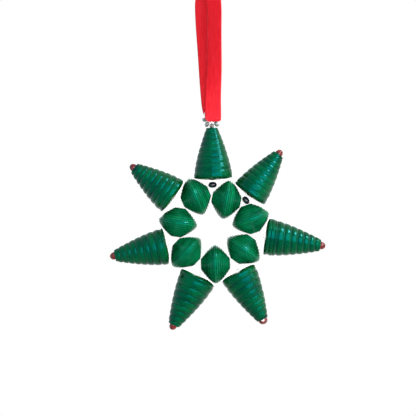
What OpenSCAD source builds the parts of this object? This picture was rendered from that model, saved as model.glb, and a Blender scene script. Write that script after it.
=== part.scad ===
/* [Ring beads] */
// Length of a two-ended bead along its hole
ring_bead_len = 12.8; // [11:0.2:15]
// Diameter of a two-ended bead at its middle
ring_bead_d = 17.4; // [15:0.2:18]
// Diameter of the small flat on each end
ring_bead_end_d = 4.6; // [3.6:0.2:5.6]
// Diameter of the hole along a two-ended bead
ring_bead_hole_d = 1.6; // [1.2:0.1:2.4]
// Turns of paper that step up from an end to the middle
ring_bead_turns = 12; // [6:1:16]

/* [Cone beads] */
// Length of a cone bead along its hole
cone_len = 24; // [21:0.2:28]
// Widest diameter of a cone bead, near its base
cone_d = 16.8; // [15:0.2:18]
// Height of the dome that closes the base end
cone_dome = 1.6; // [1:0.1:2.4]
// Diameter of a cone bead at its narrow end
cone_tip_d = 5.2; // [5.2:0.1:6.4]
// Stepped ridges from the base to the narrow end
cone_ridges = 8; // [5:1:10]
// Diameter of the hole along a cone bead
cone_hole_d = 2.4; // [2:0.1:2.8]

/* [Seed beads] */
// Diameter of the red bead at each point
tip_bead_d = 4.2; // [3.8:0.1:4.6]
// Length of the red bead along its hole
tip_bead_len = 3.5; // [3:0.1:3.7]
// Hole of the red bead
tip_bead_hole_d = 1.1; // [0.8:0.1:1.4]
// How far the red bead sinks into the mouth of its cone
tip_bead_sink = 1.8; // [0.8:0.1:1.9]
// Diameter of the dark beads under two of the cones
joint_bead_d = 4; // [3:0.1:4.2]
// Length of a dark bead along its hole
joint_bead_len = 2.8; // [2:0.1:3]
// Hole of a dark bead
joint_bead_hole_d = 1.5; // [1.4:0.1:1.6]
// Diameter of the silver beads in the small loop at the top
loop_bead_d = 2.7; // [2.4:0.1:3]
// Length of a silver bead along its hole
loop_bead_len = 2.1; // [1.8:0.1:2.4]
// Hole of a silver bead
loop_bead_hole_d = 1.2; // [1.1:0.05:1.3]

/* [Line and ribbon] */
// Diameter of the clear nylon line
line_d = 0.35; // [0.2:0.05:0.4]
// Width of the satin ribbon
ribbon_w = 7; // [5:0.5:8]
// Thickness of the satin ribbon
ribbon_t = 0.3; // [0.2:0.05:0.5]

/* [Fit] */
// Clearance between a bead and what it sits against
seat_gap = 0.15; // [0.1:0.05:0.3]

/* [Hidden] */
points = 7;
cone_names = ["top", "upper_right", "right", "lower_right", "lower_left", "left", "upper_left"];
ring_names = ["top_right", "right", "lower_right", "bottom", "lower_left", "left", "top_left"];
loop_beads = 8;
// The dark beads: the cone above, how far each has slipped to the side and down from it
joint_lie = [
    [0, -1, 0.4],
    [1, 2.5, 0.4]
];

// Radius of a ring bead from its end to its middle, rounded over at the middle
function ring_bead_r(q) = (ring_bead_end_d + (ring_bead_d - ring_bead_end_d) * (1 - pow(1 - q, 1.55))) / 2;

// The ring: neighbours meet halfway round a joint without crossing it, and that sets its size
half_turn = 180 / points;
turn_run = ring_bead_len / 2 / ring_bead_turns;
turn_r = [for (i = [0:ring_bead_turns - 1]) ring_bead_r((i + 0.5) / ring_bead_turns)];
end_reach = max([for (i = [0:ring_bead_turns - 1]) turn_r[i] * tan(half_turn) - i * turn_run]) + seat_gap;
ring_r = (ring_bead_len / 2 + end_reach) / tan(half_turn);
joint_r = ring_r / cos(half_turn);

// How each ring bead has settled: its place round the ring, how far out it lies, how it turns
ring_lie = [
    [22.5, -2.4, -12],
    [74.5, 0.25, -3],
    [124.8, -0.8, 0],
    [178, -0.9, 0],
    [230.3, -0.4, -6],
    [280.4, -0.1, -1],
    [330.2, 0.1, 7]
];

// How each cone has settled: its place, the way it points, and its length and its girth against
// the usual, because each was rolled by hand
cone_lie = [
    [-1.2, -1.5, 0.96, 1.03],
    [45.3, 36.5, 0.94, 0.98],
    [98, 99.5, 1.05, 0.98],
    [151, 152.5, 1.01, 0.98],
    [198.2, 207, 1.03, 0.99],
    [250.4, 259, 0.99, 0.97],
    [308.5, 306, 0.92, 1.01]
];
// The turn of each point's red bead: the lower right one shows its hole to the front
tip_turn = [0, 0, 0, 90, 0, 0, 0];

ridge_from = cone_dome + 0.3;
ridge_samples = 8;
cone_swell = 1.45;
// The mouth of a cone is a cup with a sloping floor. It takes the bead, and the line that runs down
// past each end of it
bead_reach = sqrt(pow(tip_bead_d / 2, 2) - pow(tip_bead_d / 2 - tip_bead_sink, 2));
mouth_d = 2 * (max(bead_reach, tip_bead_len / 2 + line_d) + seat_gap);
mouth_depth = tip_bead_sink + seat_gap;
// The narrow end is rounded over and leaves a thin rim round the mouth
tip_rounding = 0.3;
tip_rim = 0.05;
tip_r = max(cone_tip_d / 2, mouth_d / 2 + tip_rounding + tip_rim);
function cone_end(k) = cone_len * cone_lie[k][2];
function cone_wide(k) = cone_d * cone_lie[k][3];
// Height of a cone bead's dome at a radius
function dome(k, r) = cone_dome * (1 - sqrt(1 - pow(min(1, 2 * r / cone_wide(k)), 2)));
function tip_bead_z(k) = cone_end(k) + tip_bead_d / 2 - tip_bead_sink;

// The loop: oval beads touch flank to flank on this circle, the lowest one in the hole of the top cone
loop_half = 180 / loop_beads;
loop_r = sqrt(pow(loop_bead_len / 2, 2) + pow(tan(loop_half) * loop_bead_d / 2, 2)) / tan(loop_half)
    + seat_gap / 2;
loop_z = cone_end(0) + sqrt(pow(loop_bead_d / 2, 2) - pow(cone_hole_d / 2 - seat_gap, 2)) + loop_r;

line_sides = 6;
line_side = line_d + seat_gap;
line_gap = 0.06;

function dir(a) = [sin(a), 0, cos(a)];
function flat_turn(v, a) = [v[0] * cos(a) + v[2] * sin(a), v[1], v[2] * cos(a) - v[0] * sin(a)];
function ring_place(k) = (ring_r + ring_lie[k][1]) * dir(ring_lie[k][0]);
function ring_dir(k) = ring_lie[k][0] + 90 + ring_lie[k][2];

// Each cone comes down along its place until its dome rests on the ring bead at either side
function flank(k) = [for (s = [-1, 1], i = [0:ring_bead_turns - 1])
    ring_place(k) + flat_turn([-turn_r[i], 0, s * (ring_bead_turns - i) * turn_run], ring_dir(k))];
function lift(k, far, spots) = max([for (p = spots)
    let (v = flat_turn(p - far * dir(cone_lie[k][0]), -cone_lie[k][1]))
        if (abs(v[0]) < cone_wide(k) / 2) v[2] - dome(k, v[0])]) / cos(cone_lie[k][0] - cone_lie[k][1]);
function settle(k, far, tries) = tries == 0 ? far + seat_gap
    : settle(k, far + lift(k, far, concat(flank(k), flank((k + points - 1) % points))), tries - 1);
cone_far = [for (k = [0:points - 1]) settle(k, joint_r, 4)];
function cone_base(k) = cone_far[k] * dir(cone_lie[k][0]);
function from_cone(k, v) = cone_base(k) + flat_turn(v, cone_lie[k][1]);
function joint_dir(j) = cone_lie[j[0]][0] + j[1];
function joint_far(j, up) = cone_far[j[0]] - seat_gap - j[2] - (0.5 - up) * joint_bead_len;
function joint_place(j, up) = joint_far(j, up) * dir(joint_dir(j));

// Radius of a cone bead at a distance from its base, as steps that drop between flat ridges
function cone_line(k, i) = let (wide = cone_wide(k))
    (wide - (wide - 2 * tip_r) * pow(i / (cone_ridges - 1), cone_swell)) / 2;
function step(f) = f < 0.25 ? 0 : f > 0.75 ? 1 : (1 - cos(360 * (f - 0.25))) / 2;
function ridge_r(k, u) = let (i = floor(u), r = cone_line(k, i)) r + (cone_line(k, i + 1) - r) * step(u - i);

// The ribbon carries the small loop this far below the point that holds it, and the star hangs from
// the loop with its centre a little to the side
loop_drop = 60;
star_side = 2;
star_drop = loop_drop + from_cone(0, [0, 0, loop_z])[2];

module at_star() {
    translate([star_side, 0, -star_drop]) children();
}

module on_cone(k) {
    at_star() translate(cone_base(k)) rotate([0, cone_lie[k][1], 0]) children();
}

module cone_bead(k) {
    last = (cone_ridges - 1) * ridge_samples;
    pitch = (cone_end(k) - ridge_from) / last;
    hole = cone_hole_d / 2;
    from = asin(cone_hole_d / cone_wide(k));
    color("darkgreen") on_cone(k) rotate_extrude($fn = 72) polygon(concat(
        [for (i = [0:8]) let (r = cone_wide(k) / 2 * sin(from + (90 - from) * i / 8)) [r, dome(k, r)]],
        [for (i = [0:last - 1]) [ridge_r(k, i / ridge_samples), ridge_from + i * pitch]],
        [[tip_r - tip_rounding / 4, cone_end(k) - tip_rounding / 4], [tip_r - tip_rounding, cone_end(k)]],
        k == 0 ? [[hole, cone_end(k)]] : [
            [mouth_d / 2, cone_end(k)],
            [mouth_d / 2, cone_end(k) - mouth_depth + mouth_d / 2 - hole],
            [hole, cone_end(k) - mouth_depth]
        ]
    ));
}

module ring_bead(k) {
    half = [for (i = [0:ring_bead_turns - 1]) each [
        [turn_r[i], i * turn_run],
        [turn_r[i], (i + 1) * turn_run]
    ]];
    n = len(half);
    color("seagreen") at_star() translate(ring_place(k)) rotate([0, ring_dir(k), 0])
        translate([0, 0, -ring_bead_len / 2]) rotate_extrude($fn = 72) polygon(concat(
            [[ring_bead_hole_d / 2, 0]],
            half,
            [for (i = [n - 2:-1:0]) [half[i][0], ring_bead_len - half[i][1]]],
            [[ring_bead_hole_d / 2, ring_bead_len]]
        ));
}

// An oval glass bead on the Z axis, drilled through
module seed_bead(d, length, hole) {
    from = asin(hole / d);
    rotate_extrude($fn = 32) polygon(
        [for (i = [0:12]) let (a = from + (180 - 2 * from) * i / 12) [d / 2 * sin(a), -length / 2 * cos(a)]]
    );
}

module tip_bead(k) {
    color("darkred") on_cone(k) translate([0, 0, tip_bead_z(k)]) rotate([0, 0, tip_turn[k]])
        rotate([0, 90, 0]) seed_bead(tip_bead_d, tip_bead_len, tip_bead_hole_d);
}

module joint_bead(j) {
    color("midnightblue") at_star() translate(joint_place(j, 0)) rotate([0, joint_dir(j), 0])
        seed_bead(joint_bead_d, joint_bead_len, joint_bead_hole_d);
}

module loop_bead(k) {
    color("silver") on_cone(0) translate([0, 0, loop_z]) rotate([0, 180 + (k - 1) * 360 / loop_beads, 0])
        translate([0, 0, loop_r]) rotate([0, 90, 0])
            seed_bead(loop_bead_d, loop_bead_len, loop_bead_hole_d);
}

// A closed or an open skin through rings of points
module skin(rings, closed = false) {
    n = len(rings);
    m = len(rings[0]);
    sides = [for (i = [0:n - (closed ? 1 : 2)], j = [0:m - 1])
        let (a = i * m, b = (i + 1) % n * m, c = (j + 1) % m)
            each [[a + j, b + c, a + c], [a + j, b + j, b + c]]];
    ends = closed ? [] : [[for (j = [0:m - 1]) j], [for (j = [m - 1:-1:0]) (n - 1) * m + j]];
    polyhedron([for (r = rings) each r], concat(sides, ends));
}

function unit(v) = v / norm(v);

// The line inside one cone: up one side of the hole, through the bead at the point, and back
in_cone = [-0.01, 0.3, 0.6, 0.85];
function line_facing(k, w) = flat_turn([-sin(w), cos(w), 0], cone_lie[k][1]);
function beside(k, side, f) = let (w = tip_turn[k] * f)
    [from_cone(k, [side * line_side * cos(w), side * line_side * sin(w), f * (cone_end(k) - mouth_depth)]),
        line_facing(k, w)];
function under(k, side, ups) = [for (j = joint_lie) if (j[0] == k) each [for (up = ups)
    [joint_place(j, up) + side * line_side * dir(joint_dir(j) + 90), [0, 1, 0]]]];
function round_bead(k, side, a, z, d, length) = let (w = tip_turn[k], g = line_d / 2 + line_gap,
    x = side * (length / 2 + g) * cos(a), y = z - (d / 2 + g) * sin(a))
    [from_cone(k, [x * cos(w), x * sin(w), y]), line_facing(k, w)];
function into_bead(k, side, y, z, length) = let (w = tip_turn[k], x = side * length / 2)
    [from_cone(k, [x * cos(w) - y * sin(w), x * sin(w) + y * cos(w), z]), line_facing(k, w)];
below_bead = -0.7;
above_bead = 0.62;
function up_cone(k, side) = concat(
    under(k, side, [below_bead, above_bead]),
    [for (f = in_cone) beside(k, side, f)]
);
function down_cone(k, side) = concat(
    [for (i = [len(in_cone) - 1:-1:0]) beside(k, side, in_cone[i])],
    under(k, side, [above_bead, below_bead])
);
function tip_turns(k) = concat(
    [for (a = [75, 50, 25, 5]) round_bead(k, -1, a, tip_bead_z(k), tip_bead_d, tip_bead_len)],
    [for (side = [-0.8, 0.8]) into_bead(k, side, 0, tip_bead_z(k), tip_bead_len)],
    [for (a = [5, 25, 50, 75]) round_bead(k, 1, a, tip_bead_z(k), tip_bead_d, tip_bead_len)]
);
// The line round the small loop passes its lowest bead twice, once in front and once behind
low_z = loop_z - loop_r;
pass_y = line_d / 2 + line_gap;
function loop_stop(a, y) = [from_cone(0, [loop_r * sin(a), y, loop_z + loop_r * cos(a)]), [0, 1, 0]];
function loop_turns() = concat(
    [for (a = [50, 25]) round_bead(0, -1, a, low_z, loop_bead_d, loop_bead_len)],
    [into_bead(0, -0.8, -pass_y, low_z, loop_bead_len), into_bead(0, 0.8, -pass_y, low_z, loop_bead_len)],
    [for (i = [1:loop_beads * 2 - 2]) let (a = 180 - i * loop_half - loop_half / 2)
        loop_stop(a, pass_y * (i / loop_beads - 1))],
    [into_bead(0, -0.8, pass_y, low_z, loop_bead_len), into_bead(0, 0.8, pass_y, low_z, loop_bead_len)],
    [for (a = [25, 50]) round_bead(0, 1, a, low_z, loop_bead_d, loop_bead_len)]
);
// Between two cones it runs through a ring bead, over the outer rim of an end where it comes from above
function ring_stop(k, side, out) = let (z = side * (ring_bead_len / 2 + line_d / 2 + line_gap))
    [ring_place(k) + flat_turn([-out, 0, z], ring_dir(k)), [0, 1, 0]];
function comes_from(k) = min(concat(
    [cone_far[k]],
    [for (j = joint_lie) if (j[0] == k) norm(joint_place(j, below_bead))]
));
function past_ring(k) = [for (s = [[-1, 1], [-1, 0], [1, 0], [1, 1]])
    let (stop = ring_stop(k, s[0], s[1] * turn_r[0]))
        if (s[1] == 0 || norm(stop[0]) < comes_from(s[0] < 0 ? k : (k + 1) % points)) stop];
line_route = [for (k = [0:points - 1]) each concat(
    up_cone(k, -1), k == 0 ? loop_turns() : tip_turns(k), down_cone(k, 1), past_ring(k)
)];

module nylon_line() {
    n = len(line_route);
    rings = [for (i = [0:n - 1]) let (
        p = line_route[i][0],
        t = unit(line_route[(i + 1) % n][0] - line_route[(i + n - 1) % n][0]),
        raw = line_route[i][1],
        u = unit(raw - (raw * t) * t),
        v = cross(t, u)
    ) [for (j = [0:line_sides - 1]) let (a = 360 * j / line_sides)
        p + line_d / 2 * (cos(a) * u + sin(a) * v)]];
    color("gainsboro") at_star() skin(rings, true);
}

// The ribbon's route from one cut end to the other, against the point that holds it: place, width
// there against the full width, thickness there against one layer, and how far its face has turned
ribbon_route = [
    [[6, -1, 14], 1, 1, 0],
    [[3, -1, 9], 0.8, 1, 0],
    [[0, -1, 4], 0.6, 1.2, 0],
    [[0, -3, 0], 0.8, 1, 10],
    [[1, -5, -5], 1, 1, 20],
    [[2, -6, -12], 1, 1, 28],
    [[2, -6, -24], 1, 1, 28],
    [[2, -5, -38], 1, 1, 24],
    [[1.5, -4, -50], 1, 1, 12],
    [[1.5, -3, -56], 1, 1, 4],
    [[1.5, -2.4, -59], 1, 1, 0],
    [[1.4, -2.1, -60.6], 0.9, 1.2, 0],
    [[1.3, -1.6, -60.8], 0.5, 2, 0],
    [[1.1, -0.9, -60], 0.26, 3.6, 0],
    [[1.1, 0.9, -59.6], 0.26, 3.6, 0],
    [[1, 1.8, -59.2], 0.6, 1.6, 0],
    [[0.8, 2.4, -57.6], 0.9, 1, -4],
    [[0, 3, -54], 1, 1, -10],
    [[-1, 4, -44], 1, 1, -16],
    [[-2, 5, -30], 1, 1, -20],
    [[-3, 5, -16], 1, 1, -20],
    [[-3, 4, -7], 1, 1, -14],
    [[-2, 3, -1], 0.8, 1, -8],
    [[-1, 1, 4], 0.6, 1.2, 0],
    [[-3, 1, 9], 0.8, 1, 0],
    [[-6, 1, 13], 1, 1, 0]
];
knot_place = [-0.5, 0, 5];
knot_size = [8, 6, 7];

module ribbon() {
    n = len(ribbon_route);
    rings = [for (i = [0:n - 1]) let (
        p = ribbon_route[i][0],
        t = unit(ribbon_route[min(i + 1, n - 1)][0] - ribbon_route[max(i - 1, 0)][0]),
        face = [cos(ribbon_route[i][3]), sin(ribbon_route[i][3]), 0],
        u = unit(face - (face * t) * t),
        v = cross(t, u),
        w = ribbon_w / 2 * ribbon_route[i][1],
        h = ribbon_t / 2 * ribbon_route[i][2]
    ) [for (c = [[-1, -0.6], [-0.9, -1], [0.9, -1], [1, -0.6], [1, 0.6], [0.9, 1], [-0.9, 1], [-1, 0.6]])
        p + w * c[0] * u + h * c[1] * v]];
    color("crimson") union() {
        skin(rings);
        translate(knot_place) scale(knot_size / 2) sphere(r = 1, $fn = 20);
    }
}

for (k = [0:points - 1]) {
    cone_bead(k);
    ring_bead(k);
}
for (k = [1:points - 1]) tip_bead(k);
for (j = joint_lie) joint_bead(j);
for (k = [1:loop_beads]) loop_bead(k);
nylon_line();
ribbon();
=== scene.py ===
import math

import bmesh
import bpy
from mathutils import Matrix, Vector


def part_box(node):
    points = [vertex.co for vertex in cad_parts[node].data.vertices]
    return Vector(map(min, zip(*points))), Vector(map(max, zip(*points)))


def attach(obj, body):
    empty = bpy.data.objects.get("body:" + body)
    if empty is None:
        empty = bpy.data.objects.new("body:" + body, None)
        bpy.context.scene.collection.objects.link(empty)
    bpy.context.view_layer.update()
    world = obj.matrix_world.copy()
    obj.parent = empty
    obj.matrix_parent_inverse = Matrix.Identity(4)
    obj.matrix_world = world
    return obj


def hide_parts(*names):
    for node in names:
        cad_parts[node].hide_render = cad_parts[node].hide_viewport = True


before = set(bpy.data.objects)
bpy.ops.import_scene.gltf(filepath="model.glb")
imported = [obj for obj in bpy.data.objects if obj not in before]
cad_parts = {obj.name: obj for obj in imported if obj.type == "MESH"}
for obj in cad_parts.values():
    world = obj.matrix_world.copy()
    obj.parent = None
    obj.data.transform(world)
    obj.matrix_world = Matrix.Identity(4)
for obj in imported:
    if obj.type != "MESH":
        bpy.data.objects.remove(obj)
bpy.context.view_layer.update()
mm = 0.001
star = Vector((2, 0, -108)) * mm  # the star's centre, below the point that the ribbon hangs from


def inPlane(degrees):  # a direction in the star's own plane, clockwise from up
    return Vector((math.sin(math.radians(degrees)), 0, math.cos(math.radians(degrees))))


# ---- camera, square on to the star's front

camera = {
    "target": Vector((-0.73, 0, -98.98)) * mm, "distance": 0.5, "frameWidth": 183.04 * mm, "sensor": 36,
}


def addCamera(s):
    data = bpy.data.cameras.new("camera")
    data.sensor_width = s["sensor"]
    data.lens = s["sensor"] * s["distance"] / s["frameWidth"]
    data.clip_start = 0.01
    held = bpy.data.objects.new("camera", data)
    held.location = s["target"] - Vector((0, s["distance"], 0))
    held.rotation_euler = (math.radians(90), 0, 0)
    bpy.context.scene.collection.objects.link(held)
    bpy.context.scene.camera = held


addCamera(camera)
print("camera set")


# ---- node graphs: shader and geometry maths written as expressions

class Value:  # one output socket, with the operators that the expressions below use
    def __init__(self, graph, socket):
        self.graph = graph
        self.socket = socket

    def maths(self, operation, *others):
        inputs = dict(enumerate((self,) + others))
        return self.graph.node("ShaderNodeMath", {"operation": operation}, inputs)

    def flipped(self, operation, other):
        return self.graph.node("ShaderNodeMath", {"operation": operation}, {0: other, 1: self})

    def __add__(self, other):
        return self.maths("ADD", other)

    def __radd__(self, other):
        return self.flipped("ADD", other)

    def __sub__(self, other):
        return self.maths("SUBTRACT", other)

    def __rsub__(self, other):
        return self.flipped("SUBTRACT", other)

    def __mul__(self, other):
        return self.maths("MULTIPLY", other)

    def __truediv__(self, other):
        return self.maths("DIVIDE", other)

    def __pow__(self, other):
        return self.maths("POWER", other)

    def sin(self):
        return self.maths("SINE")

    def cos(self):
        return self.maths("COSINE")

    def floor(self):
        return self.maths("FLOOR")

    def fract(self):
        return self.maths("FRACT")

    def least(self, other):
        return self.maths("MINIMUM", other)

    def most(self, other):
        return self.maths("MAXIMUM", other)

    def ramp(self, start, end, low=0.0, high=1.0, smooth=False):  # held at low and high past its ends
        kind = "SMOOTHSTEP" if smooth else "LINEAR"
        return self.graph.node("ShaderNodeMapRange", {"interpolation_type": kind, "clamp": True}, {
            "Value": self, "From Min": start, "From Max": end, "To Min": low, "To Max": high})

    def also(self, name):  # another output of the same node
        return Value(self.graph, self.socket.node.outputs[name])


class Graph:
    def __init__(self, tree):
        self.tree = tree

    def node(self, kind, settings=None, inputs=None, output=0):
        made = self.tree.nodes.new(kind)
        for name, setting in (settings or {}).items():
            setattr(made, name, setting)
        for key, value in (inputs or {}).items():
            if isinstance(value, Value):
                self.tree.links.new(value.socket, made.inputs[key])
            else:
                made.inputs[key].default_value = value
        return Value(self, made.outputs[output]) if len(made.outputs) else None

    def blend(self, share, a, b):  # a colour between two
        return self.node("ShaderNodeMix", {"data_type": "RGBA"}, {0: share, 6: a, 7: b}, output=2)

    def vector(self, x, y, z):
        return self.node("ShaderNodeCombineXYZ", {}, {0: x, 1: y, 2: z})


def newMaterial(name):
    material = bpy.data.materials.new(name)
    material.use_nodes = True
    material.node_tree.nodes.clear()
    return material, Graph(material.node_tree)


def finishMaterial(graph, settings, varying=None, bump=None):  # settings are constants of the shader
    inputs = dict(settings)
    inputs.update(varying or {})
    if bump:
        height, strength, depth = bump
        inputs["Normal"] = graph.node("ShaderNodeBump", {}, {
            "Strength": strength, "Distance": depth, "Height": height})
    shader = graph.node("ShaderNodeBsdfPrincipled", {}, inputs)
    graph.node("ShaderNodeOutputMaterial", {}, {"Surface": shader})


# ---- the satin ribbon: one strip, down in front, through the small bead loop and up behind

ribbon = {
    "width": 7 * mm, "thickness": 0.3 * mm, "across": 20, "pace": 0.6 * mm, "length": 0.157,
    "foldHeight": 0.55 * mm, "foldWaves": 3, "foldPhase": 0.6, "crown": 0.12 * mm, "edgeShare": 0.7,
    # place against the point that holds it, width there against the full width, turn of its face,
    # folds, bow of the lower edge
    "route": [
        (6, -1, 14, 1, 0, 0, 0), (3, -1, 9, 0.8, 0, 0.3, 0), (0, -1, 4, 0.6, 0, 0.6, 0),
        (0, -3, 0, 0.8, 10, 0.3, 0), (1, -5, -5, 1, 20, 0, 0), (2, -6, -12, 1, 28, 0, 0),
        (2, -6, -24, 1, 28, 0, 0), (2, -5, -38, 1, 24, 0, 0), (1.5, -4, -50, 1, 12, 0, 0),
        (1.5, -3, -56, 1, 4, 0, 0.1), (1.5, -2.4, -59, 1, 0, 0, 0.3), (1.4, -2.1, -60.6, 0.98, 0, 0, 0.5),
        (1.3, -1.6, -60.8, 0.6, 0, 0.5, 0.3), (1.1, -0.9, -60, 0.26, 0, 0.9, 0),
        (1.1, 0.9, -59.6, 0.26, 0, 0.9, 0), (1, 1.8, -59.2, 0.6, 0, 0.5, 0),
        (0.8, 2.4, -57.6, 0.9, -4, 0.2, 0), (0, 3, -54, 1, -10, 0, 0), (-1, 4, -44, 1, -16, 0, 0),
        (-2, 5, -30, 1, -20, 0, 0), (-3, 5, -16, 1, -20, 0, 0), (-3, 4, -7, 1, -14, 0, 0),
        (-2, 3, -1, 0.8, -8, 0.3, 0), (-1, 1, 4, 0.6, 0, 0.6, 0), (-3, 1, 9, 0.8, 0, 0.3, 0),
        (-6, 1, 13, 1, 0, 0, 0)],
}


def alongCurve(points, t):  # a smooth curve through the points, t in spans
    i = min(int(t), len(points) - 2)
    f = t - i
    a, b, c, d = (points[max(0, min(len(points) - 1, i + k))] for k in (-1, 0, 1, 2))
    return [0.5 * (2 * q + (r - p) * f + (2 * p - 5 * q + 4 * r - s) * f * f
                   + (3 * q - p - 3 * r + s) * f ** 3) for p, q, r, s in zip(a, b, c, d)]


def ribbonStations(s):
    stations = []
    for i in range(len(s["route"]) - 1):
        span = (Vector(s["route"][i + 1][:3]) - Vector(s["route"][i][:3])).length * mm
        parts = max(3, round(span / s["pace"]))
        stations += [alongCurve(s["route"], i + k / parts) for k in range(parts)]
    stations.append(list(s["route"][-1]))
    return stations


def ribbonMesh(s):
    stations = ribbonStations(s)
    path = [Vector(row[:3]) * mm for row in stations]
    mesh = bmesh.new()
    uvLayer = mesh.loops.layers.uv.new("UVMap")
    n = s["across"]
    rings = []
    run = 0
    for i, row in enumerate(stations):
        ahead = (path[min(i + 1, len(path) - 1)] - path[max(i - 1, 0)]).normalized()
        flat = Vector((1, 0, 0))
        side = (flat - flat.dot(ahead) * ahead).normalized()
        out = ahead.cross(side)
        turn = math.radians(row[4])
        cosine, sine = math.cos(turn), math.sin(turn)
        side, out = side * cosine + out * sine, out * cosine - side * sine
        run += (path[i] - path[i - 1]).length if i else 0
        front, back = [], []
        for k in range(n + 1):
            u = 2 * k / n - 1
            fold = row[5] * s["foldHeight"] * math.sin(s["foldWaves"] * math.pi * u + s["foldPhase"])
            crown = s["crown"] * (1 - u * u)
            spot = path[i] + side * (u * row[3] * s["width"] / 2) + out * (fold + crown)
            spot -= ahead * row[6] * u * u * mm
            thin = s["thickness"] / 2 * (s["edgeShare"] if abs(u) == 1 else 1)
            front.append((mesh.verts.new(spot + out * thin), u, run))
            back.append((mesh.verts.new(spot - out * thin), u, run))
        rings.append(front + back[::-1])
    m = len(rings[0])
    for a, b in zip(rings, rings[1:]):
        for k in range(m):
            corners = [a[k], a[(k + 1) % m], b[(k + 1) % m], b[k]]
            face = mesh.faces.new([c[0] for c in corners])
            for loop, c in zip(face.loops, corners):
                loop[uvLayer].uv = (c[1] * 0.5 + 0.5, c[2] / s["width"])
    mesh.faces.new([c[0] for c in rings[0]][::-1])
    mesh.faces.new([c[0] for c in rings[-1]])
    bmesh.ops.recalc_face_normals(mesh, faces=mesh.faces)
    return mesh, path


def addPiece(name, mesh, material):
    data = bpy.data.meshes.new(name)
    mesh.to_mesh(data)
    mesh.free()
    for polygon in data.polygons:
        polygon.use_smooth = True
    data.materials.append(material)
    piece = bpy.data.objects.new(name, data)
    bpy.context.scene.collection.objects.link(piece)
    return piece


satinFinish = {
    "threads": 46, "crossThreads": 60, "deep": (0.86, 0.005, 0.012, 1), "bright": (0.96, 0.014, 0.03, 1),
    "selvedge": (0.5, 0.001, 0.004, 1), "sheenTint": (1, 0.2, 0.28, 1), "glossTint": (1, 0.4, 0.5, 1),
}


def satinMaterial(s):
    material, g = newMaterial("redSatin")
    uv = g.node("ShaderNodeUVMap", {"uv_map": "UVMap"})
    parts = g.node("ShaderNodeSeparateXYZ", {}, {0: uv})
    across, along = parts, parts.also("Y")
    threads = (across * 2 * math.pi * s["threads"]).sin() * 0.5 + 0.5
    cross = (along * 2 * math.pi * s["crossThreads"]).sin() * 0.5 + 0.5
    shine = g.node("ShaderNodeTexNoise", {"noise_dimensions": "2D"}, {
        "Vector": g.vector(across * 14, along * 1.3, 0), "Scale": 1.0, "Detail": 2.0})
    edge = (across - 0.5).maths("ABSOLUTE").ramp(0.455, 0.49)
    colour = g.blend(shine.ramp(0.35, 0.65), s["deep"], s["bright"])
    colour = g.blend(edge * 0.5, colour, s["selvedge"])
    finishMaterial(g, {"Roughness": 0.42, "Sheen Weight": 0.4, "Sheen Roughness": 0.4,
                       "Sheen Tint": s["sheenTint"], "Specular IOR Level": 0.6,
                       "Specular Tint": s["glossTint"]},
                   {"Base Color": colour}, (threads * 0.7 + cross * 0.3 + edge * 1.5, 0.35, 0.05 * mm))
    return material


satin = satinMaterial(satinFinish)
ribbonBody, ribbonPath = ribbonMesh(ribbon)
ribbonStrip = addPiece("ribbon_strip", ribbonBody, satin)

knot = {  # lengths in mm, turn in degrees, waist and flare against the width
    "place": (-0.5, 0, 5), "round": (3.5, 2.5), "width": 5.4, "turn": 16, "lift": 3.2, "crown": 0.9,
    "sink": 0.55, "crease": 0.16, "halfThick": 0.15, "waist": 0.82, "flare": 0.1, "rows": 64, "across": 14,
}


def knotMesh(s):  # the wrap of the overhand knot, round both strands
    mesh = bmesh.new()
    uvLayer = mesh.loops.layers.uv.new("UVMap")
    centre = Vector(s["place"]) * mm
    tilt = math.radians(s["turn"])
    rings = []
    for i in range(s["rows"]):
        a = 2 * math.pi * i / s["rows"]
        radial = Vector((math.cos(a) * s["round"][0], math.sin(a) * s["round"][1], 0))
        out = Vector((math.cos(a) / s["round"][0], math.sin(a) / s["round"][1], 0)).normalized()
        lift = math.sin(a) * math.sin(tilt) * s["lift"]
        ring = []
        for side in (1, -1):
            for k in range(s["across"] + 1):
                u = (2 * k / s["across"] - 1) * side
                crown = s["crown"] * (1 - u * u) - s["sink"]
                crease = s["crease"] * math.sin(5 * u + 2 * a) * (1 - u * u)
                spot = radial + out * (crown + crease + s["halfThick"] * side)
                spread = s["waist"] + s["flare"] * math.cos(a)
                spot += Vector((0, 0, lift + u * s["width"] / 2 * spread))
                ring.append((mesh.verts.new(centre + spot * mm), u, i / s["rows"]))
        rings.append(ring)
    m = len(rings[0])
    for i, a in enumerate(rings):
        b = rings[(i + 1) % len(rings)]
        for k in range(m):
            corners = [a[k], a[(k + 1) % m], b[(k + 1) % m], b[k]]
            face = mesh.faces.new([c[0] for c in corners])
            for loop, c in zip(face.loops, corners):
                loop[uvLayer].uv = (c[1] * 0.5 + 0.5, c[2] * 3)
    bmesh.ops.recalc_face_normals(mesh, faces=mesh.faces)
    return mesh


ribbonKnot = addPiece("ribbon_knot", knotMesh(knot), satin)
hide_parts("ribbon")
for piece in (ribbonStrip, ribbonKnot):
    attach(piece, "root")
print("ribbon made:", round(sum((b - a).length for a, b in zip(ribbonPath, ribbonPath[1:])), 4))


# ---- rolled paper: one tree for the cones, one for the two-ended ring beads

mergeDistance = 0.004 * mm  # closes a skin's seam, and joins the two ends of its outline
# where each part of a skin's outline ends, from 0 to 1; the bore takes up the rest
coneOutline = {"dome": 0.07, "side": 0.94, "lip": 0.955, "mouth": 0.975}
ringOutline = {"face": 0.03, "side": 0.945, "lastFace": 0.975}
glassOutline = {"shell": 0.85}
coneRidge = {"flatness": 2.6, "sunk": 0.7, "unevenTurns": 1.4, "unevenGirth": 1.2 * mm}


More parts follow.
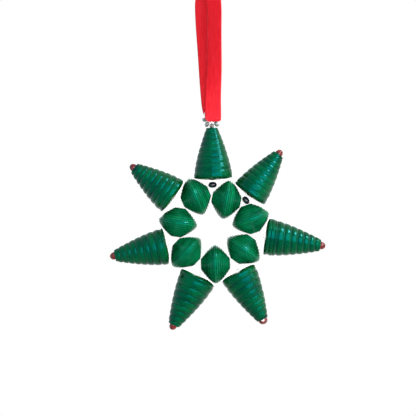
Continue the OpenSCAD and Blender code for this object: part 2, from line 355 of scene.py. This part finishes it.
def newTree(name, inputs):  # inputs are label: kind, and come back as values
    tree = bpy.data.node_groups.new(name, "GeometryNodeTree")
    sockets = {}
    for label, kind in inputs.items():
        sockets[label] = tree.interface.new_socket(label, in_out="INPUT", socket_type="NodeSocket" + kind)
    tree.interface.new_socket("Geometry", in_out="OUTPUT", socket_type="NodeSocketGeometry")
    graph = Graph(tree)
    start = tree.nodes.new("NodeGroupInput")
    values = {label: Value(graph, start.outputs[label]) for label in inputs}
    return tree, graph, values


def paperSkin(g, v):  # a grid to be wrapped, its angle round the hole and its way along the outline, 0 to 1
    grid = g.node("GeometryNodeMeshGrid", {}, {
        "Size X": 1.0, "Size Y": 1.0, "Vertices X": v["Around"], "Vertices Y": v["Along"]})
    place = g.node("ShaderNodeSeparateXYZ", {}, {0: g.node("GeometryNodeInputPosition")})
    return grid, place + 0.5, place.also("Y") + 0.5


def wrapSkin(g, v, grid, angle, radius, height, turns, unshaded):
    stored = g.node("GeometryNodeStoreNamedAttribute", {"data_type": "FLOAT2", "domain": "CORNER"}, {
        "Geometry": grid, "Name": "UVMap", "Value": g.vector(angle, turns, 0)})
    # the share kept out of the painted shade in grooves and steps, read by the paper's colour
    stored = g.node("GeometryNodeStoreNamedAttribute", {"data_type": "FLOAT", "domain": "POINT"}, {
        "Geometry": stored, "Name": "unshaded", "Value": unshaded})
    around = angle * 2 * math.pi
    wrapped = g.node("GeometryNodeSetPosition", {}, {
        "Geometry": stored,
        "Position": g.vector(radius * around.sin(), radius * around.cos(), height)})
    joined = g.node("GeometryNodeMergeByDistance", {}, {"Geometry": wrapped, "Distance": mergeDistance})
    smooth = g.node("GeometryNodeSetShadeSmooth", {}, {"Geometry": joined, "Shade Smooth": True})
    turned = g.node("GeometryNodeTransform", {}, {
        "Geometry": smooth, "Translation": v["Place"], "Rotation": g.vector(0, v["Turn"], 0)})
    whole = g.node("GeometryNodeRealizeInstances", {}, {"Geometry": turned})
    coloured = g.node("GeometryNodeSetMaterial", {}, {"Geometry": whole, "Material": v["Material"]})
    g.node("NodeGroupOutput", {}, {"Geometry": coloured})


def coneTree():
    tree, g, v = newTree("rolledCone", {
        "Length": "Float", "Ridges": "Float", "Base Radius": "Float", "Tip Radius": "Float",
        "Swell": "Float", "Crowding": "Float", "Cushion": "Float", "Dome": "Float",
        "Ridge Start": "Float", "Hole Radius": "Float", "Mouth Radius": "Float", "Mouth Depth": "Float",
        "Helix": "Float", "Phase": "Float", "Fine Depth": "Float", "Fine Pitch": "Float",
        "Slack Turns": "Float", "Slack Pitch": "Float", "Unevenness": "Float", "Seed": "Float",
        "Around": "Int", "Along": "Int",
        "Place": "Vector", "Turn": "Float", "Material": "Material"})
    grid, angle, t = paperSkin(g, v)
    # the outline in order: domed base, ridged side, lip, cup at the mouth, bore back to the base
    domeShare = t.ramp(0.0, coneOutline["dome"])
    side = t.ramp(coneOutline["dome"], coneOutline["side"])
    lip = t.ramp(coneOutline["side"], coneOutline["lip"])
    mouth = t.ramp(coneOutline["lip"], coneOutline["mouth"])
    bore = t.ramp(coneOutline["mouth"], 1.0)
    first = (v["Hole Radius"] / v["Base Radius"]).maths("ARCSINE")
    bend = first + domeShare * (math.pi / 2 - first)
    spot = g.vector((angle * 2 * math.pi).sin(), (angle * 2 * math.pi).cos(), side * 7)
    rough = g.node("ShaderNodeTexNoise", {"noise_dimensions": "4D"}, {
        "Vector": spot, "W": v["Seed"], "Scale": 0.8, "Detail": 1.0}) - 0.5
    shift = ((angle + v["Phase"]).fract() - 0.5) * v["Helix"]
    spread = side * (1 - v["Crowding"] + v["Crowding"] * side)
    u = spread * v["Ridges"] + shift + rough * v["Unevenness"] * coneRidge["unevenTurns"]
    u = u.most(0).least(v["Ridges"])
    cushion = 1 - (u.fract() * 2 - 1).maths("ABSOLUTE") ** coneRidge["flatness"]
    taper = (v["Base Radius"] - v["Tip Radius"]) * side ** v["Swell"]
    ends = side.ramp(0, 0.02) * side.ramp(1, 0.93)  # the ridges fade out, so that the bore meets the base
    ridge = v["Base Radius"] - taper + (cushion - coneRidge["sunk"]) * v["Cushion"] * ends
    height = v["Dome"] * (1 - bend.cos()) + (v["Ridge Start"] - v["Dome"]) * side.ramp(0, 0.02)
    height = height + (v["Length"] - v["Ridge Start"]) * side
    turns = height / v["Fine Pitch"] + angle
    fine = turns.fract() * v["Fine Depth"] * side.ramp(0.0, 0.03) * side.ramp(1, 0.97)
    slackTurn = (height / v["Slack Pitch"] + angle).fract()
    slack = slackTurn.ramp(0, 0.07) * slackTurn.ramp(0.2, 0.13)
    slack = slack * side.ramp(0.02, 0.035) * side.ramp(0.24, 0.18)  # only near the base
    radius = v["Base Radius"] * bend.sin() + (ridge - v["Base Radius"]) - fine - slack * v["Slack Turns"]
    radius = radius - rough.most(0) * v["Unevenness"] * coneRidge["unevenGirth"] * side * (1 - side) * 4
    radius = radius - (v["Tip Radius"] - v["Mouth Radius"]) * lip
    radius = radius - (v["Mouth Radius"] - v["Hole Radius"]) * mouth
    low = v["Dome"] * (1 - first.cos())
    height = height - v["Mouth Depth"] * mouth - (v["Length"] - v["Mouth Depth"] - low) * bore
    # painted shade: the grooves between ridges and the slack turns near the base are marked for darkening
    # in the paper's colour
    grooveShade = cushion.ramp(0.5, 0) * u.ramp(0.35, 0.6) * (v["Cushion"] / (0.4 * mm)).least(1)
    unshaded = (1 - grooveShade) * (1 - slack * (v["Slack Turns"] / (0.3 * mm)).least(1))
    wrapSkin(g, v, grid, angle, radius, height, turns, unshaded)
    return tree


def ringTree():
    tree, g, v = newTree("rolledRingBead", {
        "Length": "Float", "Middle Radius": "Float", "End Radius": "Float", "Hole Radius": "Float",
        "Bulge": "Float", "Turns": "Float", "Step Depth": "Float", "Slant": "Float", "Unevenness": "Float",
        "Seed": "Float", "Around": "Int", "Along": "Int", "Place": "Vector", "Turn": "Float",
        "Material": "Material"})
    grid, angle, t = paperSkin(g, v)
    face = t.ramp(0.0, ringOutline["face"])
    side = t.ramp(ringOutline["face"], ringOutline["side"])
    lastFace = t.ramp(ringOutline["side"], ringOutline["lastFace"])
    bore = t.ramp(ringOutline["lastFace"], 1.0)
    around = angle * 2 * math.pi
    spot = g.vector(around.sin(), around.cos(), side * 4)
    rough = g.node("ShaderNodeTexNoise", {"noise_dimensions": "4D"}, {
        "Vector": spot, "W": v["Seed"], "Scale": 0.7, "Detail": 1.0}) - 0.5
    q = 1 - (side * 2 - 1).maths("ABSOLUTE")

    def outline(share):
        swell = 1 - (1 - share).most(0) ** v["Bulge"]
        return v["End Radius"] + (v["Middle Radius"] - v["End Radius"]) * swell

    lean = around.cos() * v["Slant"] * outline(q) / v["Length"] * 2
    turns = (side * 2 - 1 + lean) * v["Turns"] + angle
    step = turns.fract()
    saw = (side - 0.5).maths("SIGN")
    notch = (step - 0.5) * saw
    radius = outline(q) - v["Step Depth"] * (0.5 + notch) * (q * 6).least(1)
    radius = radius - rough.most(0) * v["Unevenness"] * q.ramp(0, 0.3)
    radius = radius - q.ramp(0.94, 1, smooth=True) * 0.1 * mm  # the line round the middle
    rim = v["End Radius"] - v["Hole Radius"]
    radius = radius - rim * (1 - face) - rim * lastFace
    height = v["Length"] * (side - 0.5) - v["Length"] * bore
    # painted shade: each turn's step line is marked for darkening in the paper's colour
    wrapSkin(g, v, grid, angle, radius, height, turns, (step * 2 * math.pi).cos() * -0.5 + 0.5)
    return tree


def beadTree():  # an oval glass bead, drilled
    tree, g, v = newTree("glassBead", {
        "Radius": "Float", "Length": "Float", "Hole Radius": "Float", "Around": "Int", "Along": "Int",
        "Place": "Vector", "Turn": "Float", "Material": "Material"})
    grid, angle, t = paperSkin(g, v)
    first = (v["Hole Radius"] / v["Radius"]).maths("ARCSINE")
    shell = t.ramp(0.0, glassOutline["shell"])
    bore = t.ramp(glassOutline["shell"], 1.0)
    bend = first + shell * (math.pi - first * 2)
    height = v["Length"] * -0.5 * bend.cos() * (1 - bore * 2)
    wrapSkin(g, v, grid, angle, v["Radius"] * bend.sin(), height, t, t)
    return tree


def grow(name, tree, settings, material):  # runs a tree and keeps its result as a plain mesh
    holder = bpy.data.objects.new(name + "_tree", bpy.data.meshes.new(name + "_tree"))
    bpy.context.scene.collection.objects.link(holder)
    modifier = holder.modifiers.new("tree", "NODES")
    modifier.node_group = tree
    for item in tree.interface.items_tree:
        if item.in_out == "INPUT" and item.name != "Geometry":
            modifier[item.identifier] = material if item.name == "Material" else settings[item.name]
    depsgraph = bpy.context.evaluated_depsgraph_get()
    mesh = bpy.data.meshes.new_from_object(holder.evaluated_get(depsgraph), depsgraph=depsgraph)
    mesh.name = name
    bpy.data.objects.remove(holder)
    piece = bpy.data.objects.new(name, mesh)
    bpy.context.scene.collection.objects.link(piece)
    return piece


def standIn(piece, node):
    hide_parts(node)
    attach(piece, "root")


def spanAlong(node, direction):  # how far a node's mesh reaches along a direction
    ways = [v.co.dot(direction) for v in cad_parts[node].data.vertices]
    return min(ways), max(ways)


def middleOf(node):
    low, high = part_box(node)
    return (Vector(low) + Vector(high)) / 2


grain = {"broad": 170.0, "speck": 2600.0}  # how fine the paper's clouding and its flecks are


def paperMaterial(name, s):
    material, g = newMaterial(name)
    uv = g.node("ShaderNodeUVMap", {"uv_map": "UVMap"})
    turns = g.node("ShaderNodeSeparateXYZ", {}, {0: uv}).also("Y")
    unshaded = g.node("ShaderNodeAttribute", {"attribute_name": "unshaded"}).also("Fac")
    place = g.node("ShaderNodeTexCoord").also("Object")
    each = g.node("ShaderNodeTexWhiteNoise", {"noise_dimensions": "1D"}, {"W": turns.floor()})
    broad = g.node("ShaderNodeTexNoise", {}, {"Vector": place, "Scale": grain["broad"], "Detail": 3.0})
    speck = g.node("ShaderNodeTexNoise", {}, {"Vector": place, "Scale": grain["speck"], "Detail": 2.0})
    tone = each * 0.35 + broad.ramp(0.3, 0.7) * 0.65
    colour = g.blend(tone, s["deep"], s["bright"])
    # painted shade: the colour darkens toward the groove colour in the grooves, the slack turns and the
    # step lines
    colour = g.blend((1 - unshaded) * s["grooveShadeShare"], colour, s["grooveShade"])
    colour = g.blend(speck.ramp(0.6, 0.75) * 0.25, colour, s["fleck"])
    rough = s["roughness"] + broad.ramp(0.35, 0.7) * 0.1 + (1 - unshaded) * 0.12
    finishMaterial(g, {"IOR": 1.5, "Specular IOR Level": s["gloss"], "Specular Tint": s["glossTint"]},
                   {"Base Color": colour, "Roughness": rough},
                   (turns.fract() * s["lineHeight"] + speck * 0.06 + broad * 0.4, 0.5, 0.06 * mm))
    return material


# in each paper, the groove colour and its share are painted shade for the grooves and step lines
conePaper = paperMaterial("conePaper", {
    "deep": (0.0004, 0.03, 0.004, 1), "bright": (0.0012, 0.12, 0.022, 1),
    "grooveShade": (0.0002, 0.007, 0.001, 1), "fleck": (0.002, 0.16, 0.05, 1), "grooveShadeShare": 0.95,
    "roughness": 0.13, "gloss": 0.42, "glossTint": (0.0, 0.85, 1.0, 1), "lineHeight": 0.4})
ringPaper = paperMaterial("ringPaper", {
    "deep": (0.001, 0.1, 0.026, 1), "bright": (0.003, 0.3, 0.105, 1),
    "grooveShade": (0.0002, 0.007, 0.002, 1), "fleck": (0.005, 0.36, 0.16, 1), "grooveShadeShare": 0.62,
    "roughness": 0.16, "gloss": 0.36, "glossTint": (0.0, 0.85, 1.0, 1), "lineHeight": 0.5})

cone = {
    "Ridges": 8, "Crowding": 0.2, "Tip Radius": 2.6 * mm, "Swell": 1.45, "Dome": 1.6 * mm,
    "Ridge Start": 1.9 * mm, "Hole Radius": 1.2 * mm, "Helix": 1.0, "Fine Pitch": 0.44 * mm,
    "Slack Pitch": 1.7 * mm, "Around": 97, "Along": 210,
}
coneRadius = 8.4 * mm
mouth = {"Mouth Radius": 2.25 * mm, "Mouth Depth": 1.95 * mm}
noMouth = {"Mouth Radius": 1.2 * mm, "Mouth Depth": 0.05 * mm}
# for each cone: the way it points and its girth against the usual, then in mm the height of its ridges
# and the depths of its fine turns and of the slack turns at its base, and last a plain unevenness
cones = {
    "top": (-1.5, 1.03, 0.16, 0.07, 0.0, 0.12), "upper_right": (36.5, 0.98, 0.24, 0.05, 0.1, 0.16),
    "right": (99.5, 0.98, 0.42, 0.02, 0.34, 0.06), "lower_right": (152.5, 0.98, 0.32, 0.08, 0.0, 0.2),
    "lower_left": (207, 0.99, 0.3, 0.02, 0.0, 0.1), "left": (259, 0.97, 0.36, 0.02, 0.12, 0.08),
    "upper_left": (306, 1.01, 0.34, 0.03, 0.0, 0.14),
}


def addCones():
    tree = coneTree()
    for i, (name, (points, girth, cushion, fine, slack, uneven)) in enumerate(cones.items()):
        node = "cone_bead_" + name
        outward, sideways = inPlane(points), inPlane(points + 90)
        low, high = spanAlong(node, outward)
        left, right = spanAlong(node, sideways)
        wide = coneRadius * girth
        rimSink = cone["Dome"] * (1 - math.cos(math.asin(cone["Hole Radius"] / wide)))
        settings = dict(cone, **(noMouth if name == "top" else mouth))
        settings["Base Radius"] = wide
        settings.update({
            "Length": high - low + rimSink, "Phase": 0.37 * i + 0.2, "Cushion": cushion * mm,
            "Fine Depth": fine * mm, "Slack Turns": slack * mm, "Unevenness": uneven, "Seed": 3.1 * i + 1,
            "Place": outward * (low - rimSink) + sideways * ((left + right) / 2),
            "Turn": math.radians(points)})
        standIn(grow("rolled_cone_" + name, tree, settings, conePaper), node)


ringBead = {
    "Length": 12.8 * mm, "Middle Radius": 8.7 * mm, "End Radius": 2.3 * mm, "Hole Radius": 0.8 * mm,
    "Bulge": 1.55, "Turns": 7, "Around": 97, "Along": 190,
}
# for each ring bead: the way its hole points, the depth of its steps in mm, the lean of its turns and
# its unevenness in mm
ringBeads = {
    "top_right": (100.5, 0.2, 0.03, 0.25), "right": (161.5, 0.14, 0.12, 0.25),
    "lower_right": (214.8, 0.2, -0.06, 0.2), "bottom": (268, 0.19, 0.02, 0.25),
    "lower_left": (314.3, 0.1, 0.04, 0.25), "left": (9.4, 0.14, -0.05, 0.25),
    "top_left": (67.2, 0.2, 0.05, 0.25),
}


def addRingBeads():
    tree = ringTree()
    for i, (name, (points, step, slant, uneven)) in enumerate(ringBeads.items()):
        settings = dict(ringBead)
        settings.update({
            "Step Depth": step * mm, "Slant": slant, "Unevenness": uneven * mm, "Seed": 5.3 * i + 2,
            "Place": middleOf("ring_bead_" + name), "Turn": math.radians(points)})
        standIn(grow("rolled_ring_" + name, tree, settings, ringPaper), "ring_bead_" + name)


addCones()
addRingBeads()
print("paper beads rolled")


# ---- glass beads and the clear line

def glassMaterial(name, s):
    material, g = newMaterial(name)
    place = g.node("ShaderNodeTexCoord").also("Object")
    cloud = g.node("ShaderNodeTexNoise", {}, {"Vector": place, "Scale": s["cloudScale"], "Detail": 2.0})
    colour = g.blend(cloud.ramp(0.35, 0.65), s["deep"], s["bright"])
    finishMaterial(g, {"Transmission Weight": s["clear"], "IOR": 1.52, "Coat Weight": s.get("coat", 0.0),
                       "Coat Roughness": 0.03, "Metallic": s.get("metal", 0.0)},
                   {"Base Color": colour, "Roughness": s["roughness"] + cloud * 0.05},
                   (cloud, 0.25, 0.05 * mm))
    return material


redGlass = glassMaterial("redGlass", {
    "deep": (0.04, 0.001, 0.002, 1), "bright": (0.32, 0.004, 0.008, 1), "clear": 0.0, "roughness": 0.06,
    "cloudScale": 700.0})
paleRedGlass = glassMaterial("paleRedGlass", {
    "deep": (0.1, 0.004, 0.006, 1), "bright": (0.4, 0.08, 0.09, 1), "clear": 0.0, "roughness": 0.06,
    "cloudScale": 900.0, "coat": 0.4})
darkGlass = glassMaterial("darkGlass", {
    "deep": (0.004, 0.004, 0.016, 1), "bright": (0.01, 0.01, 0.03, 1), "clear": 0.1, "roughness": 0.08,
    "cloudScale": 900.0, "coat": 0.6})
clearGlass = glassMaterial("clearGlass", {
    "deep": (0.09, 0.065, 0.04, 1), "bright": (0.4, 0.47, 0.46, 1), "clear": 0.2, "roughness": 0.06,
    "cloudScale": 420.0, "coat": 0.7})
silverLining = glassMaterial("silverLining", {
    "deep": (0.32, 0.3, 0.28, 1), "bright": (0.75, 0.78, 0.78, 1), "clear": 0.0, "roughness": 0.2,
    "cloudScale": 1500.0, "metal": 0.95})
clearNylon = glassMaterial("clearNylon", {
    "deep": (0.75, 0.78, 0.8, 1), "bright": (0.9, 0.92, 0.93, 1), "clear": 0.9, "roughness": 0.12,
    "cloudScale": 700.0})

tipBead = {"Radius": 2.1 * mm, "Length": 3.5 * mm, "Hole Radius": 0.55 * mm, "Around": 49, "Along": 40}
jointBead = {"Radius": 2 * mm, "Length": 2.8 * mm, "Hole Radius": 0.75 * mm, "Around": 41, "Along": 32}
loopBead = {"Radius": 1.35 * mm, "Length": 2.1 * mm, "Hole Radius": 0.6 * mm, "Around": 41, "Along": 32}
sleeve = {"Radius": 0.68 * mm, "Length": 1.9 * mm, "Hole Radius": 0.61 * mm, "Around": 41, "Along": 32}
loopCount = 8


def addBead(tree, name, node, size, points, material):
    settings = dict(size, Place=middleOf(node), Turn=math.radians(points))
    piece = grow(name, tree, settings, material)
    standIn(piece, node)
    return piece


def addGlassBeads():
    tree = beadTree()
    for name in list(cones)[1:]:  # the top cone carries no red bead
        node = "tip_bead_" + name
        if name == "lower_right":
            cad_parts[node].data.materials.clear()
            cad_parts[node].data.materials.append(paleRedGlass)
            continue
        addBead(tree, "red_bead_" + name, node, tipBead, cones[name][0] + 90, redGlass)
    for name, points in (("top", -2.2), ("upper_right", 47.8)):
        addBead(tree, "dark_bead_" + name, "joint_bead_" + name, jointBead, points, darkGlass)
    for i in range(loopCount):
        node = "loop_bead_%d" % (i + 1)
        along = 270 + 360 / loopCount * i + cones["top"][0]
        addBead(tree, "clear_bead_%d" % (i + 1), node, loopBead, along, clearGlass)
        settings = dict(sleeve, Place=middleOf(node), Turn=math.radians(along))
        lining = grow("silver_lining_%d" % (i + 1), tree, settings, silverLining)
        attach(lining, "root")


addGlassBeads()
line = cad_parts["nylon_line"]
line.data.materials.clear()
line.data.materials.append(clearNylon)
print("glass beads and line done")


# ---- floor, backdrop light and lamps

room = {"floor": -0.25, "reach": 3.0, "fadeFrom": 0.12, "fadeTo": 0.27, "ambient": 0.04}


def seenRays(g):  # 1 for the rays that show the white background, also in gloss and through glass
    rays = g.node("ShaderNodeLightPath")
    seen = rays.also("Is Camera Ray").most(rays.also("Is Glossy Ray"))
    return seen.most(rays.also("Is Transmission Ray"))


def addFloor(s):
    mesh = bmesh.new()
    bmesh.ops.create_circle(mesh, cap_ends=True, segments=96, radius=s["reach"])
    for v in mesh.verts:
        v.co.z = s["floor"]
    material, g = newMaterial("paleFloor")
    place = g.node("ShaderNodeTexCoord").also("Object")
    flat = g.node("ShaderNodeVectorMath", {"operation": "MULTIPLY"}, {0: place, 1: (1, 1, 0)})
    away = g.node("ShaderNodeVectorMath", {"operation": "LENGTH"}, {0: flat}, output="Value")
    grain = g.node("ShaderNodeTexNoise", {}, {"Vector": place, "Scale": 40.0, "Detail": 3.0})
    matt = g.node("ShaderNodeBsdfPrincipled", {}, {
        "Base Color": g.blend(grain, (0.86, 0.86, 0.86, 1), (0.9, 0.9, 0.9, 1)), "Roughness": 0.85})
    white = g.node("ShaderNodeEmission", {}, {"Color": (1, 1, 1, 1), "Strength": 1.0})
    share = away.ramp(s["fadeFrom"], s["fadeTo"], smooth=True) * seenRays(g)
    both = g.node("ShaderNodeMixShader", {}, {0: share, 1: matt, 2: white})
    g.node("ShaderNodeOutputMaterial", {}, {"Surface": both})
    addPiece("floor", mesh, material)


def setWorld(s):  # white where it is seen, a plain room elsewhere
    world = bpy.data.worlds.new("room")
    bpy.context.scene.world = world
    world.use_nodes = True
    world.node_tree.nodes.clear()
    g = Graph(world.node_tree)
    colour = g.blend(seenRays(g), (s["ambient"],) * 3 + (1,), (1, 1, 1, 1))
    g.node("ShaderNodeOutputWorld", {}, {"Surface": g.node("ShaderNodeBackground", {}, {"Color": colour})})


# each lamp: place in metres from the star, size in metres, power in watts, colour
lamps = {
    "window_right_pane": ((0.34, -0.19, -0.41), (0.14, 0.11), 5.0, (0.93, 1, 1)),
    "window_left_pane": ((0.13, -0.19, -0.52), (0.14, 0.11), 5.6, (0.93, 1, 1)),
    "upper_window": ((0.4, -0.16, 0.40), (0.2, 0.14), 1.8, (0.93, 1, 1)),
    "front_softbox": ((0.40, -0.9, 0.08), (1.1, 1.1), 15.0, (1, 1, 1)),
    "back_softbox": ((-0.1, 1.2, 0.2), (1.2, 1.2), 11.0, (1, 1, 1)),
}


def addLamps():
    for name, (place, size, power, colour) in lamps.items():
        data = bpy.data.lights.new(name, "AREA")
        data.shape = "RECTANGLE"
        data.size, data.size_y = size
        data.energy = power
        data.color = colour
        lamp = bpy.data.objects.new(name, data)
        lamp.location = star + Vector(place)
        lamp.rotation_euler = (-Vector(place)).to_track_quat("-Z", "Y").to_euler()
        bpy.context.scene.collection.objects.link(lamp)


addFloor(room)
setWorld(room)
addLamps()
bpy.context.scene.view_settings.view_transform = "Standard"
print("room and lamps set")
